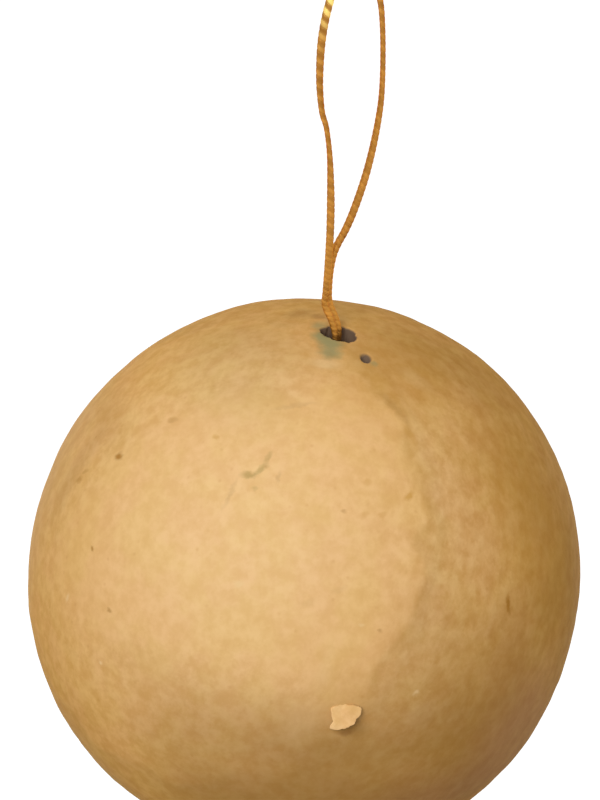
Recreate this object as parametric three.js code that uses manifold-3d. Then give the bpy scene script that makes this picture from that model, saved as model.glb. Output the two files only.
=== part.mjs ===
// A hollow ball of pasted paper pulp that hangs on a loop of twisted gold cord.
//
// Millimetres, +Z up. The origin is the hanging point, the underside of the cord at the top of its
// loop. The ball hangs straight below it. The cord's two legs go through one torn hole near the top
// of the ball and are held there by a knot that bears against the inside of the wall.

import * as THREE from 'three';
import { mergeVertices } from 'three/addons/utils/BufferGeometryUtils.js';
import Module from 'manifold-3d';

const wasm = await Module();
wasm.setup();

// Driving dimensions of the ball.
const ballDiameter = 80;
const wallThickness = 2.4;
const loopHeight = 53; // from the top of the ball up to the hanging point

// The hand-made ball is not quite round: broad swells and flats, each with the way it faces from the
// ball's centre, its height and how far it spreads in degrees.
const swells = [
  { facing: [0.7, 0.3, 0.65], height: 0.3, spread: 32 },
  { facing: [-0.76, -0.46, -0.45], height: 0.4, spread: 34 },
  { facing: [0.64, -0.53, -0.55], height: 0.3, spread: 28 },
  { facing: [0.97, -0.2, -0.07], height: -0.3, spread: 30 },
  { facing: [-0.97, 0, 0.21], height: -0.3, spread: 30 },
  { facing: [0.1, 0.95, -0.3], height: 0.25, spread: 36 },
];

// The torn cord hole, an oval seen from above, and the oval pin hole beside it.
const holeLength = 4.8;
const holeWidth = 4.2;
const holeTurn = -15; // degrees, its right end towards the front
const holeX = 1.85;
const holeY = 0.1;
const pinHoleWidth = 1.5;
const pinHoleLength = 2; // from front to back
const pinHoleFacing = [0.142, -0.121, 0.982];

// The smooth outer skin of paper: a round sheet pasted over one side, with a low step at its edge that
// runs from the hole down the front. The way its middle faces, and its reach in degrees.
const skinFacing = [-0.49, -0.65, 0.58];
const skinReach = 51.4;
const skinEdge = 3.5; // degrees over which the edge slopes down
const skinThickness = 0.3;

// A torn flake of paper that stands up from the front of the ball. Its corners are shares of half its
// width and half its height.
const flakeWidth = 4;
const flakeHeight = 2.9;
const flakeThickness = 0.5;
const flakeLift = 14; // degrees, its lower edge stands off the ball
const flakeSideLift = 5; // degrees, and its right side a little
const flakeFacing = [0.168, -0.976, 0.14];
const flakeCorners = [
  [-0.95, 0.72],
  [0.15, 1],
  [0.95, 0.79],
  [0.6, -0.22],
  [0.25, -0.72],
  [-0.7, -1],
  [-1, -0.81],
  [-0.8, -0.34],
];

// The cord and its knot.
const cordDiameter = 0.9;
const knotOverhang = 0.6; // how far the knot reaches past each end of the hole
const knotHeight = 4.6;
const knotFullness = 0.3; // 1 is a round lump, less is fuller at the shoulders
const tailLength = 8;
const tailSpread = 2.2;
const fitGap = 0.3; // clearance between touching pieces

// How finely the round forms are divided.
const outerDetail = 17;
const innerDetail = 8;
const cordSides = 8;
const cordSteps = 72;
const tailSteps = 4;
const knotRings = 8;
const knotSides = 14;
const pinHoleSides = 12;
const holePoints = 24;

const ballRadius = ballDiameter / 2;
const cavityRadius = ballRadius - wallThickness;
const ballCentreZ = -loopHeight - ballRadius;
const up = new THREE.Vector3(0, 0, 1);

// The cord's route in the middle of the cord, chosen by hand, from one leg's end at the hole up the
// right leg, over the top of the loop and down the left leg. Below the fork the legs lie close, the
// left leg in front.
const cordRoute = [
  [1.7, 0.45, -52.9],
  [1.05, 0.55, -50.8],
  [0.1, 0.6, -48.7],
  [-0.15, 0.6, -46.3],
  [-0.15, 0.6, -43.6],
  [0.1, 0.6, -41.3],
  [0.62, 0.6, -39.5],
  [1.4, 0.55, -37.5],
  [2.3, 0.4, -34.4],
  [3.35, 0.3, -29.6],
  [4.05, 0.2, -24.8],
  [4.45, 0.1, -19.9],
  [4.45, 0, -16.2],
  [4.1, 0, -11.2],
  [3.6, 0, -7],
  [3.1, 0, -4.6],
  [2.2, 0, -1.7],
  [1.2, 0, -0.1],
  [0, 0, 0.43],
  [-1.2, 0, -0.15],
  [-2.2, 0, -1.9],
  [-3, 0, -5],
  [-3.5, 0, -7.9],
  [-3.75, 0, -11],
  [-3.72, 0, -14.3],
  [-3.5, 0, -17.4],
  [-2.95, -0.05, -20.7],
  [-2.2, -0.1, -22.9],
  [-1.45, -0.2, -27],
  [-0.9, -0.35, -32.5],
  [-0.62, -0.5, -36.8],
  [-0.52, -0.6, -39.8],
  [-0.47, -0.6, -43.2],
  [-0.47, -0.6, -46.1],
  [-0.42, -0.62, -48.4],
  [0.6, -0.66, -50.6],
  [1.3, -0.75, -52.9],
];

const paper = new THREE.MeshStandardMaterial({ color: 0xcfa067, roughness: 0.85, metalness: 0 });
const gold = new THREE.MeshStandardMaterial({ color: 0xc08a3a, roughness: 0.4, metalness: 0.6 });

// A closed three.js geometry as a solid that can be joined and cut.
function solidOf(geometry) {
  const bare = geometry.clone();
  bare.deleteAttribute('normal');
  bare.deleteAttribute('uv');
  const merged = mergeVertices(bare);
  return new wasm.Manifold(new wasm.Mesh({
    numProp: 3,
    vertProperties: new Float32Array(merged.attributes.position.array),
    triVerts: new Uint32Array(merged.index.array),
  }));
}

// The way back: a solid's vertices and triangles as a three.js geometry.
function geometryOf(solid) {
  const mesh = solid.getMesh();
  const geometry = new THREE.BufferGeometry();
  geometry.setAttribute('position', new THREE.BufferAttribute(mesh.vertProperties, 3));
  geometry.setIndex(new THREE.BufferAttribute(mesh.triVerts, 1));
  geometry.computeVertexNormals();
  return geometry;
}

function facingVector(facing) {
  return new THREE.Vector3(...facing).normalize();
}

function degreesFrom(direction, facing) {
  return THREE.MathUtils.radToDeg(direction.angleTo(facingVector(facing)));
}

// The outside radius in a direction: the ball's radius, each swell's bell curve of the angle from its
// middle, and the skin's thickness where the direction lies within its reach.
function outerRadius(direction) {
  let radius = ballRadius;
  for (const { facing, height, spread } of swells) {
    radius += height * Math.exp(-((degreesFrom(direction, facing) / spread) ** 2));
  }
  const pastEdge = degreesFrom(direction, skinFacing) - skinReach;
  radius += skinThickness * (1 - THREE.MathUtils.smoothstep(pastEdge, -skinEdge / 2, skinEdge / 2));
  return radius;
}

// A sphere of even triangles whose points are moved out to the radius that radiusAt gives.
function roundBody(detail, radiusAt) {
  const geometry = new THREE.IcosahedronGeometry(1, detail);
  const positions = geometry.attributes.position;
  const point = new THREE.Vector3();
  for (let i = 0; i < positions.count; i += 1) {
    point.fromBufferAttribute(positions, i).normalize();
    point.multiplyScalar(radiusAt(point));
    positions.setXYZ(i, point.x, point.y, point.z);
  }
  return geometry;
}

// A regular outline of flat sides.
function polygonShape(radius, sides) {
  const corners = [];
  for (let i = 0; i < sides; i += 1) {
    const angle = (2 * Math.PI * i) / sides;
    corners.push(new THREE.Vector2(radius * Math.cos(angle), radius * Math.sin(angle)));
  }
  return new THREE.Shape(corners);
}

// A tube of flat sides along a smooth curve through points.
function tube(points, diameter, sides, steps) {
  const extrudePath = new THREE.CatmullRomCurve3(points, false, 'centripetal');
  return new THREE.ExtrudeGeometry(polygonShape(diameter / 2, sides), { steps, extrudePath });
}

// The oval prism that leaves the torn cord hole in the top of the wall.
function cordHoleCutter() {
  const oval = new THREE.Shape();
  oval.absellipse(0, 0, holeLength / 2, holeWidth / 2, 0, 2 * Math.PI);
  const outline = new THREE.Shape(oval.getSpacedPoints(holePoints).slice(0, holePoints));
  const geometry = new THREE.ExtrudeGeometry(outline, { depth: ballRadius, bevelEnabled: false });
  geometry.rotateZ(THREE.MathUtils.degToRad(holeTurn));
  geometry.translate(holeX, holeY, cavityRadius / 2);
  return geometry;
}

// The oval prism that leaves the pin hole, square to the wall.
function pinHoleCutter() {
  const reach = ballRadius;
  const geometry = new THREE.CylinderGeometry(pinHoleWidth / 2, pinHoleWidth / 2, reach, pinHoleSides);
  geometry.scale(1, 1, pinHoleLength / pinHoleWidth);
  geometry.translate(0, cavityRadius / 2 + reach / 2, 0);
  const facing = facingVector(pinHoleFacing);
  geometry.applyQuaternion(new THREE.Quaternion().setFromUnitVectors(new THREE.Vector3(0, 1, 0), facing));
  return geometry;
}

// The paper flake: a torn outline of even thickness, rooted in the wall and turned up along one edge.
function flakeBody() {
  const corners = flakeCorners.map(([x, y]) => new THREE.Vector2((x * flakeWidth) / 2, (y * flakeHeight) / 2));
  const root = wallThickness / 4;
  const geometry = new THREE.ExtrudeGeometry(new THREE.Shape(corners), {
    depth: flakeThickness + root,
    bevelEnabled: false,
  });
  geometry.translate(0, 0, -root);
  geometry.rotateX(THREE.MathUtils.degToRad(-flakeLift));
  geometry.rotateY(THREE.MathUtils.degToRad(-flakeSideLift));
  const facing = facingVector(flakeFacing);
  const across = new THREE.Vector3().crossVectors(up, facing).normalize();
  const along = new THREE.Vector3().crossVectors(facing, across);
  const place = new THREE.Matrix4().makeBasis(across, along, facing);
  place.setPosition(facing.clone().multiplyScalar(outerRadius(facing)));
  return geometry.applyMatrix4(place);
}

// The ball: the outside with the flake joined on, less the hollow and the two holes.
function ballShell() {
  const outside = solidOf(roundBody(outerDetail, outerRadius));
  const hollow = solidOf(roundBody(innerDetail, () => cavityRadius));
  const shell = outside
    .add(solidOf(flakeBody()))
    .subtract(hollow)
    .subtract(solidOf(cordHoleCutter()))
    .subtract(solidOf(pinHoleCutter()));
  const mesh = new THREE.Mesh(geometryOf(shell), paper);
  mesh.name = 'ball_shell';
  mesh.position.z = ballCentreZ;
  return mesh;
}

// Where the knot's top lies: its shoulder bears on the lowest part of the hole's inner rim.
const knotRadius = holeLength / 2 + knotOverhang;
const knotRingTurn = Math.PI / knotRings;
const shoulderDrop = (knotHeight / 2) * (1 - Math.cos(knotRingTurn));
const rimReach = Math.hypot(holeX, holeY) + holeLength / 2;
const rimZ = ballCentreZ + Math.sqrt(cavityRadius ** 2 - rimReach ** 2);
const knotTopZ = rimZ - fitGap + shoulderDrop;

// The cord: one tube whose two ends stand on the knot.
function hangingCord() {
  const points = cordRoute.map((point) => new THREE.Vector3(...point));
  const endZ = knotTopZ + fitGap;
  const first = points[0].clone().setZ(endZ);
  const last = points[points.length - 1].clone().setZ(endZ);
  const mesh = new THREE.Mesh(tube([first, ...points, last], cordDiameter, cordSides, cordSteps), gold);
  mesh.name = 'hanging_cord';
  return mesh;
}

// The knot: a round lump with a flat shoulder that bears on the wall, and the cord's two cut ends.
function cordKnot() {
  const profile = [new THREE.Vector2(0, -knotHeight)];
  for (let i = 1; i < knotRings; i += 1) {
    const angle = knotRingTurn * i - Math.PI / 2;
    const radius = knotRadius * Math.cos(angle) ** knotFullness;
    profile.push(new THREE.Vector2(radius, (knotHeight / 2) * (Math.sin(angle) - 1)));
  }
  profile.push(new THREE.Vector2(0, 0));
  const lump = new THREE.LatheGeometry(profile, knotSides).rotateX(Math.PI / 2);
  let knot = solidOf(lump);
  for (const side of [-1, 1]) {
    const points = [
      new THREE.Vector3(side * cordDiameter, 0, -knotHeight / 2),
      new THREE.Vector3(side * cordDiameter, 0, -knotHeight),
      new THREE.Vector3(side * tailSpread, 0, -knotHeight - tailLength),
    ];
    knot = knot.add(solidOf(tube(points, cordDiameter, cordSides, tailSteps)));
  }
  const mesh = new THREE.Mesh(geometryOf(knot), gold);
  mesh.name = 'cord_knot';
  mesh.position.set(holeX, holeY, knotTopZ);
  return mesh;
}

const hangingBall = new THREE.Group();
hangingBall.add(ballShell(), hangingCord(), cordKnot());

export default hangingBall;
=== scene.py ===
# %% [markdown]
# # A paper ball on a gold cord
#
# The real thing is a blank craft ornament: a hollow ball of pasted kraft paper on a loop of gold thread.
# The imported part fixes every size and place. This script dresses it with what a camera sees: the torn
# hole, the laps of the outer paper, the grain and marks of the pulp, and the twist of the thread.
# Lengths are metres in the part's own frame, with the hanging point at the origin and +Z up.

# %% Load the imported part
import math

import bpy
import numpy as np
from mathutils import Matrix, Quaternion, Vector


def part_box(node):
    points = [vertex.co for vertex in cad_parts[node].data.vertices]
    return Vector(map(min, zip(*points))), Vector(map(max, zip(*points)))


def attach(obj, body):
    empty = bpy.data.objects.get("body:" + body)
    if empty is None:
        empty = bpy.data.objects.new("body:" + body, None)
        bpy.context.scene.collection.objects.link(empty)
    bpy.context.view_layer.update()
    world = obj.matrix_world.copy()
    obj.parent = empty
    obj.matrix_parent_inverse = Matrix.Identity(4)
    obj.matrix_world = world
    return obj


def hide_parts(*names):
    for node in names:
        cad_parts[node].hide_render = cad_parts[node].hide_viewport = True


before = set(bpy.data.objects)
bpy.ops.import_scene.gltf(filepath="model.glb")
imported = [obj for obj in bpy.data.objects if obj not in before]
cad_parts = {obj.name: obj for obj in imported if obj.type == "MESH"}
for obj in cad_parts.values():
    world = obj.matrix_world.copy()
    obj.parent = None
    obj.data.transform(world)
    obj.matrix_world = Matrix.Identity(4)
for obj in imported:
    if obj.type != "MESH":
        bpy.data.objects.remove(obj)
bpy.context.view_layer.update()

print("CAD nodes:", ", ".join(sorted(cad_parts)))

# %% [markdown]
# ## The camera
#
# The photograph looks down on the ball from close by and is a little tilted. A camera can be placed by
# eye, or worked out: the ball's outline gives the distance, the hole on its top gives the height angle,
# and the cord gives the tilt. These numbers place it here. A last small turn puts the ball's centre on
# the pixel where the photograph has it, so the lens needs no shift.

# %% Camera
BALL_CENTRE = Vector((0, 0, -0.093))
IMAGE_SIZE = (600, 800)
BALL_PIXEL = (304.92, 572.93)
LENS_MM = 100
SENSOR_MM = 36
VIEW_DISTANCE = 0.3252
VIEW_HEIGHT = math.radians(34.7)
VIEW_TILT = math.radians(5.0)

to_viewer = Vector((0, -math.cos(VIEW_HEIGHT), math.sin(VIEW_HEIGHT)))
focal_pixels = LENS_MM / SENSOR_MM * max(IMAGE_SIZE)
ball_ray = Vector((
    (BALL_PIXEL[0] - IMAGE_SIZE[0] / 2) / focal_pixels,
    (IMAGE_SIZE[1] / 2 - BALL_PIXEL[1]) / focal_pixels,
    -1,
))
level_look = (-to_viewer).to_track_quat("-Z", "Y")
tilted_look = level_look @ Quaternion((0, 0, 1), VIEW_TILT)

camera = bpy.data.objects.new("camera", bpy.data.cameras.new("camera"))
camera.data.lens = LENS_MM
camera.data.sensor_width = SENSOR_MM
camera.location = BALL_CENTRE + VIEW_DISTANCE * to_viewer
camera.rotation_mode = "QUATERNION"
camera.rotation_quaternion = tilted_look @ ball_ray.rotation_difference(Vector((0, 0, -1)))
bpy.context.scene.collection.objects.link(camera)
bpy.context.scene.camera = camera
print("camera at", [round(x, 4) for x in camera.location])

# %% [markdown]
# ## From rings of points to a mesh
#
# Every piece here is a stack of rings: around a cord, or around a ball. One helper turns such a stack
# into a closed mesh, so that each piece only has to say where its points are. Blender also has primitives
# and modifiers for round things, but a formula over whole arrays keeps full control of the torn edges.

# %% Mesh helper
CM3 = 1e6  # cubic centimetres in a cubic metre


def ringed_piece(name, slot, rings, **attributes):
    """A closed mesh from rings of points, an array of rows by columns by 3. A band of four-sided faces joins
    each ring to the next, last column to first, and a fan to the ring's middle closes each end. The enclosed
    volume, a sixth of the sum of a . (b x c) over the triangles, is positive when the faces point outwards,
    so a negative one turns them round. Attributes are one number per point, rows by columns."""
    rows, columns = rings.shape[:2]
    here = np.arange(rows * columns).reshape(rows, columns)
    beside = np.roll(here, -1, axis=1)
    bands = np.stack([here[:-1], here[1:], beside[1:], beside[:-1]], axis=-1).reshape(-1, 4)
    middle = np.full(columns, rows * columns)
    fans = np.concatenate([
        np.stack([middle, here[0], beside[0]], axis=-1),
        np.stack([middle + 1, beside[-1], here[-1]], axis=-1),
    ])
    points = np.concatenate([rings.reshape(-1, 3), rings[[0, -1]].mean(axis=1)])
    triangles = np.concatenate([bands[:, [0, 1, 2]], bands[:, [0, 2, 3]], fans])
    a, b, c = points[triangles].transpose(1, 0, 2)
    volume = np.sum(a * np.cross(b, c)) / 6
    order = 1 if volume > 0 else -1
    mesh = bpy.data.meshes.new(name)
    mesh.from_pydata(points.tolist(), [], bands[:, ::order].tolist() + fans[:, ::order].tolist())
    for key, values in attributes.items():
        values = np.broadcast_to(values, (rows, columns))
        values = np.concatenate([values.ravel(), values[[0, -1]].mean(axis=1)])
        mesh.attributes.new(key, "FLOAT", "POINT").data.foreach_set("value", values.astype(np.float32))
    mesh.shade_smooth()
    piece = bpy.data.objects.new(name, mesh)
    bpy.context.scene.collection.objects.link(piece)
    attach(piece, "root")
    print(f"{name}: {len(points)} points, {len(triangles)} triangles, {abs(volume) * CM3:.3f} cm3")
    return piece


def smoothstep(x, low, high):
    """0 below low, 1 above high, and 3t^2 - 2t^3 between, so that it leaves both ends level."""
    t = np.clip((x - low) / (high - low), 0, 1)
    return t * t * (3 - 2 * t)


def unit(v):
    """The vectors, brought to a length of one."""
    v = np.asarray(v, float)
    return v / np.linalg.norm(v, axis=-1, keepdims=True)

# %% [markdown]
# ## The gold cord
#
# The cord is a soft thread of gold foil, twisted from two strands, in slanted bands about 1.6 mm apart.
# One strand is painted lighter than the other as a highlight, most of all on the left leg near the top of
# the loop, where a glint is painted on as well. A curve with a bevel would give a plain round wire. Here a
# profile is carried along the route instead: two strands make a notched outline that turns along the way,
# and the whole thread is a little flat and slowly rolls over, which is why its legs look wide in one place
# and thin in another. The route is the one of the part's own cord.

# %% Cord route
MM = 1000  # millimetres in a metre
CORD_DIAMETER = 0.0009
CORD_STEP = 0.00015
CORD_SIDES = 24
SPAN_STEPS = 40  # points worked out between two points of the route
CORD_ROUTE = np.array([
    (0.0017, 0.00045, -0.0559), (0.0017, 0.00045, -0.0529), (0.00105, 0.00055, -0.0508),
    (0.0001, 0.0006, -0.0487), (-0.00015, 0.0006, -0.0463), (-0.00015, 0.0006, -0.0436),
    (0.0001, 0.0006, -0.0413), (0.00062, 0.0006, -0.0395), (0.0014, 0.00055, -0.0375),
    (0.0023, 0.0004, -0.0344), (0.00335, 0.0003, -0.0296), (0.00405, 0.0002, -0.0248),
    (0.00445, 0.0001, -0.0199), (0.00445, 0, -0.0162), (0.0041, 0, -0.0112), (0.0036, 0, -0.007),
    (0.0031, 0, -0.0046), (0.0022, 0, -0.0017), (0.0012, 0, -0.0001), (0, 0, 0.00043),
    (-0.0012, 0, -0.00015), (-0.0022, 0, -0.0019), (-0.003, 0, -0.005), (-0.0035, 0, -0.0079),
    (-0.00375, 0, -0.011), (-0.00372, 0, -0.0143), (-0.0035, 0, -0.0174), (-0.00295, -0.00005, -0.0207),
    (-0.0022, -0.0001, -0.0229), (-0.00145, -0.0002, -0.027), (-0.0009, -0.00035, -0.0325),
    (-0.00062, -0.0005, -0.0368), (-0.00052, -0.0006, -0.0398), (-0.00047, -0.0006, -0.0432),
    (-0.00047, -0.0006, -0.0461), (-0.00042, -0.00062, -0.0484), (0.0006, -0.00066, -0.0506),
    (0.0013, -0.00075, -0.0529), (0.0013, -0.00075, -0.0559),
])


def smooth_path(points, step):
    """A Catmull-Rom curve: between two points it is the cubic whose slope at each of them is half the way
    between that point's neighbours. The curve is then measured and split again into equal steps.
    Returns the points and how far along each of them lies."""
    ends = np.concatenate([[2 * points[0] - points[1]], points, [2 * points[-1] - points[-2]]])[:, None, :]
    before, start, end, after = ends[:-3], ends[1:-2], ends[2:-1], ends[3:]
    t = np.linspace(0, 1, SPAN_STEPS, endpoint=False)[None, :, None]
    curve = 0.5 * (
        2 * start
        + (end - before) * t
        + (2 * before - 5 * start + 4 * end - after) * t**2
        + (3 * start - before - 3 * end + after) * t**3
    )
    curve = np.concatenate([curve.reshape(-1, 3), points[-1:]])
    along = np.concatenate([[0], np.cumsum(np.linalg.norm(np.diff(curve, axis=0), axis=1))])
    even = np.linspace(0, along[-1], round(along[-1] / step) + 1)
    return np.stack([np.interp(even, along, curve[:, k]) for k in range(3)], axis=-1), even


cord_path, cord_along = smooth_path(CORD_ROUTE, CORD_STEP)
print(f"cord: {cord_along[-1] * MM:.1f} mm in {len(cord_path)} points")

# %% Cord surface
TWIST_PITCH = 0.00165
NOTCH = 0.13  # how deep the notch is, as a share of the radius
FLATNESS = 0.2  # the share by which the thread is wider one way and thinner the other
# How far along the cord its flat side has rolled over by how many half turns.
ROLL_AT = (0, 0.020, 0.046, 0.070, 0.084, 0.095, 0.117)
ROLL_HALF_TURNS = (-0.3, 0, 0.5, 1, 1.5, 2, 2.4)
# How far along the cord one strand is painted lighter than the other as a highlight, by how much, and how
# much lighter both are there.
TONE_AT = (0, 0.014, 0.020, 0.050, 0.058, 0.067, 0.071, 0.080, 0.098, 0.104, 0.117)
STRAND_HIGHLIGHT = (0.12, 0.12, 0.16, 0.2, 0.95, 0.85, 0.42, 0.3, 0.22, 0.14, 0.14)
TONE_LIFT = (0.55, 0.55, 0.1, 0, 0, 0, 0, 0, 0.1, 0.55, 0.55)
# Where along the cord a glint is painted on, how far that stretches, and how strong it is.
GLINT_AT, GLINT_REACH, GLINT_STRENGTH = 0.0625, 0.0055, 1.5


def twisted_tube(path, along, diameter):
    """A notched oval carried along a path. Around each point the radius is half the diameter, less a notch
    of (1 - |cos|)^2 of the twist angle, which is two strands' outline; the twist angle goes once round for
    every pitch of length. The outline is then stretched one way and squeezed the other, in a direction that
    rolls over slowly along the path. Returns the rings, the notch, the cosine that tells one strand from
    the other, and the twist in turns."""
    forward = unit(np.gradient(path, axis=0))
    side = unit(np.cross(forward, (0, 1, 0)))
    depth = np.cross(side, forward)
    around = np.linspace(0, 2 * np.pi, CORD_SIDES, endpoint=False)[None, :]
    twist = around - 2 * np.pi * along[:, None] / TWIST_PITCH
    notch = (1 - np.abs(np.cos(twist))) ** 2
    radius = diameter / 2 * (1 - NOTCH * notch)
    roll = np.pi * np.interp(along, ROLL_AT, ROLL_HALF_TURNS)[:, None]
    wide = (1 + FLATNESS) * radius * np.cos(around - roll)
    thin = (1 - FLATNESS) * radius * np.sin(around - roll)
    x = wide * np.cos(roll) - thin * np.sin(roll)
    y = wide * np.sin(roll) + thin * np.cos(roll)
    rings = path[:, None, :] + x[..., None] * side[:, None, :] + y[..., None] * depth[:, None, :]
    return rings, notch, np.cos(twist), twist / (2 * np.pi)


def cord_piece(name, path, along):
    """A piece of the cord along a path, with what the gold finish reads from it."""
    rings, notch, strand, turns = twisted_tube(path, along, CORD_DIAMETER)
    # painted highlight on one strand, and a painted glint on the left leg near the top of the loop
    strand = strand * np.interp(along, TONE_AT, STRAND_HIGHLIGHT)[:, None]
    strand = strand + np.interp(along, TONE_AT, TONE_LIFT)[:, None]
    fresh = np.minimum(GLINT_STRENGTH * np.exp(-(((along[:, None] - GLINT_AT) / GLINT_REACH) ** 2)), 1)
    return ringed_piece(name, "gold_cord", rings, notch=notch, strand=strand, turns=turns, fresh=fresh)


cord = cord_piece("gold_cord_loop", cord_path, cord_along)
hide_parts("hanging_cord")

# %% [markdown]
# ## The knot inside
#
# Inside the wall the two legs are wound and pulled tight into a barrel knot, too fat to slip back through
# the hole, and their cut ends hang below it. Nobody sees it, so the winding is a surface and not a tied
# curve: a barrel whose radius rises and falls with the wound turns, which climb once around for each turn.

# %% Knot and cut ends
KNOT_HEIGHT = 0.0046
KNOT_TURNS = 5
KNOT_RIDGE = 0.16  # the share of the radius by which a wound turn stands out
KNOT_FULLNESS = 0.35  # the power that fills the shoulders
KNOT_HIGHLIGHT = 0.5  # painted highlight: how light the top of a wound turn is
KNOT_POLE_GAP = 0.03  # radians left at each end, which the fan closes
KNOT_ROWS = 60
KNOT_SIDES = 48
TAIL_LENGTH = 0.0078
TAIL_SPREAD = 0.0021
# Where a cut end starts and where it bends: cord diameters to the side, and knot heights down.
TAIL_START, TAIL_BEND = (1, 0.8), (1.3, 1.2)
knot_low, knot_high = (np.array(corner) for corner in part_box("cord_knot"))
knot_top = np.array([*(knot_low + knot_high)[:2] / 2, knot_high[2]])
knot_radius = (knot_high - knot_low)[0] / 2


def barrel_knot(top, radius, height):
    """A barrel of wound cord. Down its height, at angle a from 0 to pi, the radius is sin(a) to a small
    power, which is full at the shoulders, and each wound turn lifts it by |cos| of half its own angle."""
    a = np.linspace(KNOT_POLE_GAP, np.pi - KNOT_POLE_GAP, KNOT_ROWS)[:, None]
    around = np.linspace(0, 2 * np.pi, KNOT_SIDES, endpoint=False)[None, :]
    down = height / 2 * (1 - np.cos(a))
    ridge = np.abs(np.cos(np.pi * KNOT_TURNS * down / height + around / 2))
    reach = radius * np.sin(a) ** KNOT_FULLNESS * (1 - KNOT_RIDGE + KNOT_RIDGE * ridge)
    rings = np.stack([reach * np.cos(around), reach * np.sin(around), -down + 0 * around], axis=-1)
    return top + rings, 1 - ridge


rings, valley = barrel_knot(knot_top, knot_radius, KNOT_HEIGHT)
# painted highlight on the top of each wound turn, and painted shade in the valleys between them
knot = ringed_piece(
    "barrel_knot", "gold_cord", rings, notch=valley**2, strand=KNOT_HIGHLIGHT - valley, turns=valley, fresh=0.0
)
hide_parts("cord_knot")

tails = []
for name, side in (("cut_end_left", -1), ("cut_end_right", 1)):
    drop = np.array([
        (side * CORD_DIAMETER * TAIL_START[0], 0, -TAIL_START[1] * KNOT_HEIGHT),
        (side * CORD_DIAMETER * TAIL_BEND[0], 0, -TAIL_BEND[1] * KNOT_HEIGHT),
        (side * TAIL_SPREAD, 0, -KNOT_HEIGHT - TAIL_LENGTH),
    ])
    tails.append(cord_piece(name, *smooth_path(knot_top + drop, CORD_STEP)))

# %% [markdown]
# ## The paper ball: what bends its surface
#
# The ball was pressed from wet paper pulp and covered with torn sheets of the same paper. Its surface is
# a round ball plus a sum of small heights: broad swells, a paper skin with a low edge that runs from the
# hole down the front, a second sheet over that, one on the back, soft lumps, and coarse pulp elsewhere.
# Sculpting would give this by hand; a height for every direction can be worked out for all points at once.

# %% Random waves
BALL_RADIUS = 0.040


def angle_from(d, facing):
    """Degrees between each direction and the way that something faces."""
    return np.degrees(np.arccos(np.clip(d @ unit(facing), -1, 1)))


def height_angle(d):
    """Degrees up from the ball's equator."""
    return np.degrees(np.arcsin(np.clip(d[..., 2], -1, 1)))


def waves(d, seed, count, shortest, longest):
    """A random field over the ball: plane cosine waves with seeded directions, lengths and phases, added up
    and scaled so that its mean square is one."""
    rng = np.random.default_rng(seed)
    heading = unit(rng.normal(size=(count, 3)))
    length = np.exp(rng.uniform(np.log(shortest), np.log(longest), count))
    phase = rng.uniform(0, 2 * np.pi, count)
    angle = (d * BALL_RADIUS) @ (2 * np.pi * heading / length[:, None]).T + phase
    return np.cos(angle).sum(axis=-1) * np.sqrt(2 / count)

# %% Pasted sheets
# Each sheet: the way its middle faces, its reach in degrees, and the seed of its torn edge.
SKIN = (-0.49, -0.65, 0.58), 51.4, 3
FRONT = (0.0, -0.97, 0.245), 58.6, 5
BACK = (0.25, 0.93, 0.2), 46, 11
# By how many degrees an edge wanders, and in how many waves, the shortest and the longest of them.
EDGE_WANDER, EDGE_WAVES = 1.0, (16, 0.004, 0.016)
# The middle of each edge that shows, and how many degrees to either side it shows until it is pressed flat.
SKIN_LAP, FRONT_LAP, BACK_LAP = (0.416, -0.64, 0.646), (-0.6, -0.3, 0.74), (-0.49, 0.65, 0.58)
LAP_REACH = 42
FLAT_FROM_TO = (LAP_REACH - 8, LAP_REACH + 22)  # where the flattening begins and where it is full
# The step at an edge in degrees: its width, how much of that a sharp edge saves, and what a flat one adds.
STEP_WIDTH, STEP_SAVED, STEP_ADDED = 4.5, 3.2, 12
STEP_INSIDE, STEP_OUTSIDE = 0.7, 1.3  # widths of the step that lie inside the edge and outside it
# Where the skin's edge stands up most: degrees up the ball, how far that stretches, and how much.
SHARP_STRETCHES = ((65, 8, 0.8), (27, 9, 0.45))
GROOVE_SHADE_WIDTH = 0.9  # degrees to either side of the skin's edge where its groove is painted darker, as shade
GROOVE_SHADE_FADE = 14  # degrees along the edge over which that painted shade fades out


def past_edge(d, sheet):
    """Degrees past a sheet's edge, which wanders by about a degree as a torn edge does."""
    facing, reach, seed = sheet
    return angle_from(d, facing) - reach + EDGE_WANDER * waves(d, seed, *EDGE_WAVES)


def lap_sharpness(d):
    """How far the skin's edge stands up, from 0 to 1: a bell curve of the height for each stretch."""
    up = height_angle(d)
    return sum(much * np.exp(-(((up - middle) / stretch) ** 2)) for middle, stretch, much in SHARP_STRETCHES)


def groove_dust(d):
    """Painted shade in the groove: 1 along the skin's edge on the front, a bell curve of the angle past it,
    fading out at both ends.
    """
    near = 1 - smoothstep(angle_from(d, SKIN_LAP), LAP_REACH - GROOVE_SHADE_FADE, LAP_REACH)
    return near * np.exp(-((past_edge(d, SKIN) / GROOVE_SHADE_WIDTH) ** 2))


def sheet_cover(d, past, lap, sharpness):
    """1 on a sheet and 0 off it. The step between is a few degrees wide where the lap stands up, and
    spreads to about 30 degrees where the edge is pressed flat."""
    flat = smoothstep(angle_from(d, lap), *FLAT_FROM_TO)
    width = STEP_WIDTH - STEP_SAVED * sharpness + STEP_ADDED * flat
    return 1 - smoothstep(past, -STEP_INSIDE * width, STEP_OUTSIDE * width)


for name, sheet, lap in (("skin", SKIN, SKIN_LAP), ("front", FRONT, FRONT_LAP), ("back", BACK, BACK_LAP)):
    print(f"{name} sheet: its lap's middle is {past_edge(unit(lap), sheet):.1f} degrees past its edge")

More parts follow.
